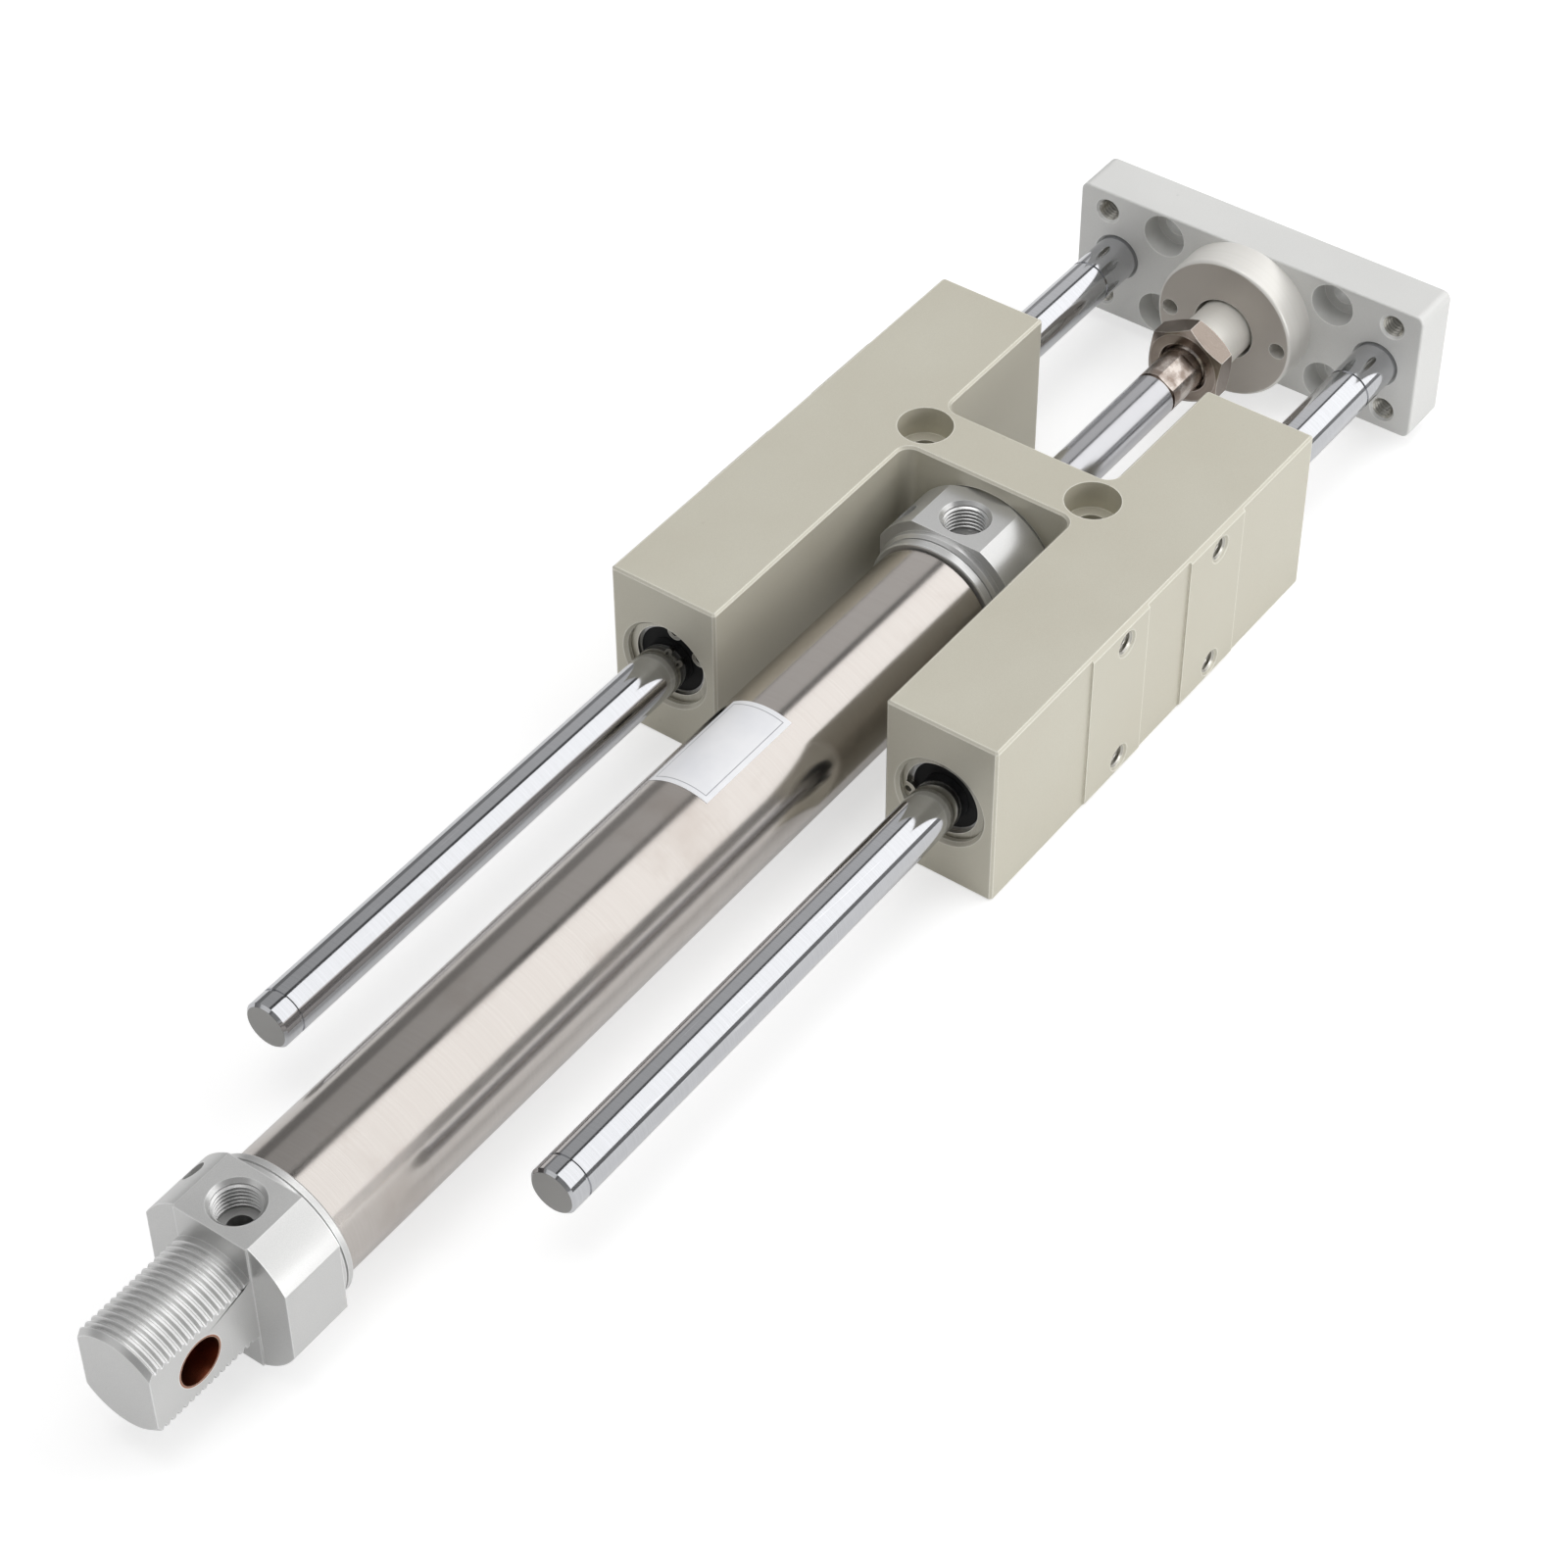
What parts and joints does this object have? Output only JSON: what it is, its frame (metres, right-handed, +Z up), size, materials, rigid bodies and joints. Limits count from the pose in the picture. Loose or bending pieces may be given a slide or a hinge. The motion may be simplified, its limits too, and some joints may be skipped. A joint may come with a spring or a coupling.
{
  "type": "guided pneumatic cylinder",
  "caption": "Round pneumatic cylinder clamped in an H-shaped guide block, whose two guide rods in linear bushings carry an end plate that the piston rod drives through a floating coupling.",
  "frame": {"origin": "on the guide block's flat mounting face, midway between the two bolt holes of its bridge", "axes": "+X is the way the piston rod extends, towards the end plate; +Y is the left arm seen along +X; +Z is up, away from the mounting face, towards the ports"},
  "size_m": [0.366, 0.0908, 0.039],
  "materials": {
    "block_anodised": "fine matte clear anodised, warm grey",
    "plate_anodised": "fine matte clear anodised",
    "cap_aluminium": "bright clear anodised",
    "hard_chrome": "polished hard chrome",
    "rod_chrome": "polished hard chrome",
    "barrel_steel": "satin stainless steel",
    "disc_steel": "satin turned steel",
    "stud_steel": "satin turned steel",
    "nut_steel": "nickel plated",
    "screw_steel": "black oxide",
    "bearing_steel": "ground bearing steel",
    "ring_steel": "phosphated spring steel",
    "retainer_plastic": "moulded",
    "seal_rubber": "moulded",
    "bearing_bronze": "sintered bronze",
    "piston_aluminium": "machined",
    "magnet_plastic": "bonded magnet",
    "guide_plastic": "moulded"
  },
  "bodies": {
    "housing": {"guide_block": "block_anodised", "front_mounting_nut": "nut_steel", "front_cap": "cap_aluminium", "rear_cap": "cap_aluminium", "barrel": "barrel_steel", "eye_bushing": "bearing_bronze", "rod_bush": "bearing_bronze", "rod_seal": "seal_rubber", "front_barrel_ring": "seal_rubber", "rear_barrel_ring": "seal_rubber", "front_cushion_seal": "seal_rubber", "rear_cushion_seal": "seal_rubber", "left_rear_bushing_sleeve": "bearing_steel", "left_rear_bushing_retainer": "retainer_plastic", "left_rear_bushing_seals": "seal_rubber", "left_rear_retaining_ring": "ring_steel", "left_front_bushing_sleeve": "bearing_steel", "left_front_bushing_retainer": "retainer_plastic", "left_front_bushing_seals": "seal_rubber", "left_front_retaining_ring": "ring_steel", "right_rear_bushing_sleeve": "bearing_steel", "right_rear_bushing_retainer": "retainer_plastic", "right_rear_bushing_seals": "seal_rubber", "right_rear_retaining_ring": "ring_steel", "right_front_bushing_sleeve": "bearing_steel", "right_front_bushing_retainer": "retainer_plastic", "right_front_bushing_seals": "seal_rubber", "right_front_retaining_ring": "ring_steel"},
    "carriage": {"end_plate": "plate_anodised", "left_guide_rod": "hard_chrome", "right_guide_rod": "hard_chrome", "guide_rod_screws": "screw_steel", "coupling_disc": "disc_steel", "coupling_stud": "stud_steel", "lock_nut": "nut_steel", "piston_rod": "rod_chrome", "piston": "piston_aluminium", "piston_seals": "seal_rubber", "piston_magnet": "magnet_plastic", "piston_guide_ring": "guide_plastic", "front_cushion_sleeve": "piston_aluminium", "rear_cushion_boss": "piston_aluminium"},
    "front_needle": {"front_cushion_screw": "screw_steel"},
    "rear_needle": {"rear_cushion_screw": "screw_steel"}
  },
  "joints": [
    {"name": "stroke", "type": "slide", "parent": "housing", "child": "carriage", "axis": [1, 0, 0], "range_m": [-0.046, 0.114]},
    {"name": "front_cushion_adjust", "type": "hinge", "parent": "housing", "child": "front_needle", "pos_m": [-0.0173, 0.012, 0.0315], "axis": [0, 0.7071, 0.7071], "range_deg": [0, 360]},
    {"name": "rear_cushion_adjust", "type": "hinge", "parent": "housing", "child": "rear_needle", "pos_m": [-0.2272, 0.012, 0.0315], "axis": [0, 0.7071, 0.7071], "range_deg": [0, 360]}
  ]
}
